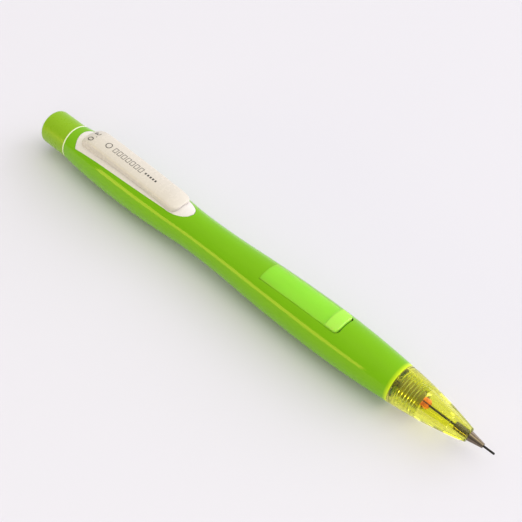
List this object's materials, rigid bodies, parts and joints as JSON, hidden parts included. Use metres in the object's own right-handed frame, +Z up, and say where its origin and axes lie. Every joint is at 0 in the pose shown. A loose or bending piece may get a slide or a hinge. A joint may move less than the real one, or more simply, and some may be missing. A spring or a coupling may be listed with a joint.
{
  "type": "mechanical pencil",
  "caption": "Side-button clutch pencil for 0.5 mm lead: hourglass green barrel, white clip, clear screw-on nose cone, metal tip, pull-off cap over an eraser",
  "frame": {"origin": "on the surface the pencil lies on, midway between the cap end and the lead tip, under its axis", "axes": "X runs along the pencil with the point at +X; Z is up through the clip and the button; Y is across"},
  "size_m": [0.1456, 0.0122, 0.0143],
  "materials": {
    "barrel": "glossy moulded green plastic",
    "rear_sleeve": "white moulded plastic",
    "cap": "semi-gloss moulded green plastic",
    "eraser": "soft white eraser",
    "eraser_holder": "plain white cup",
    "clip_plate": "white moulded plastic, flush with the barrel",
    "clip_arm": "white moulded plastic",
    "clip_marks": "grey printed marks",
    "side_button": "translucent light green plastic",
    "button_pin": "drawn steel pin",
    "tube_guide": "white moulded ring",
    "lead_tube": "milky plastic tube",
    "ramp_collar": "dark moulded collar",
    "connector": "milky moulded plastic",
    "chuck": "orange moulded jaws",
    "clutch_ring": "turned brass",
    "mech_sleeve": "dull brown turned sleeve",
    "return_spring": "bright spring wire",
    "front_bush": "clear tinted plastic",
    "nose_cone": "clear yellow-green plastic, polished",
    "tip_sleeve": "nickel plated, turned",
    "lead_brake": "black rubber",
    "lead": "graphite",
    "spare_leads": "graphite"
  },
  "bodies": {
    "housing": {"barrel": "barrel", "rear_sleeve": "rear_sleeve", "clip_plate": "clip_plate", "button_pin": "button_pin", "tube_guide": "tube_guide", "mech_sleeve": "mech_sleeve", "front_bush": "front_bush", "return_spring": "return_spring"},
    "cap": {"cap": "cap"},
    "eraser": {"eraser": "eraser", "eraser_holder": "eraser_holder"},
    "clip": {"clip_arm": "clip_arm", "clip_marks": "clip_marks"},
    "button": {"side_button": "side_button"},
    "carriage": {"lead_tube": "lead_tube", "ramp_collar": "ramp_collar", "connector": "connector", "chuck": "chuck", "spare_leads": "spare_leads"},
    "clutch": {"clutch_ring": "clutch_ring"},
    "lead": {"lead": "lead"},
    "tip": {"tip_sleeve": "tip_sleeve", "lead_brake": "lead_brake"},
    "nose": {"nose_cone": "nose_cone"}
  },
  "joints": [
    {"name": "button_press", "type": "hinge", "parent": "housing", "child": "button", "pos_m": [0.00865, 0, 0.0096], "axis": [0, 1, 0], "range_deg": [0, 3.2]},
    {"name": "carriage_slide", "type": "slide", "parent": "housing", "child": "carriage", "axis": [1, 0, 0], "range_m": [0, 0.0009], "stiffness_N_per_m": 180, "springref_m": -0.003, "deforming": ["return_spring"]},
    {"name": "clutch_slide", "type": "slide", "parent": "housing", "child": "clutch", "axis": [1, 0, 0], "range_m": [0, 0.0005]},
    {"name": "lead_feed", "type": "slide", "parent": "housing", "child": "lead", "axis": [1, 0, 0], "range_m": [-0.0028, 0.006]},
    {"name": "clip_flex", "type": "hinge", "parent": "housing", "child": "clip", "pos_m": [-0.05725, 0, 0.0117], "axis": [0, -1, 0], "range_deg": [0, 4], "stiffness_Nm_per_rad": 0.5, "springref_deg": -1.15},
    {"name": "cap_pull", "type": "slide", "parent": "housing", "child": "cap", "axis": [-1, 0, 0], "range_m": [0, 0.03]},
    {"name": "eraser_pull", "type": "slide", "parent": "housing", "child": "eraser", "axis": [-1, 0, 0], "range_m": [0, 0.0125]},
    {"name": "tip_slide", "type": "slide", "parent": "housing", "child": "tip", "axis": [1, 0, 0], "range_m": [0, 0.0066]},
    {"name": "nose_turn", "type": "hinge", "parent": "tip", "child": "nose", "pos_m": [0.05715, 0, 0.0061], "axis": [1, 0, 0], "range_deg": [0, 2880]}
  ],
  "couplings": [
    {"joint": "button_press", "follows": "carriage_slide", "rad_per_m": 61.73},
    {"joint": "clutch_slide", "follows": "carriage_slide", "ratio": 0.5},
    {"joint": "eraser_pull", "follows": "cap_pull", "ratio": 0.4},
    {"joint": "nose_turn", "follows": "tip_slide", "rad_per_m": 7570.1}
  ]
}
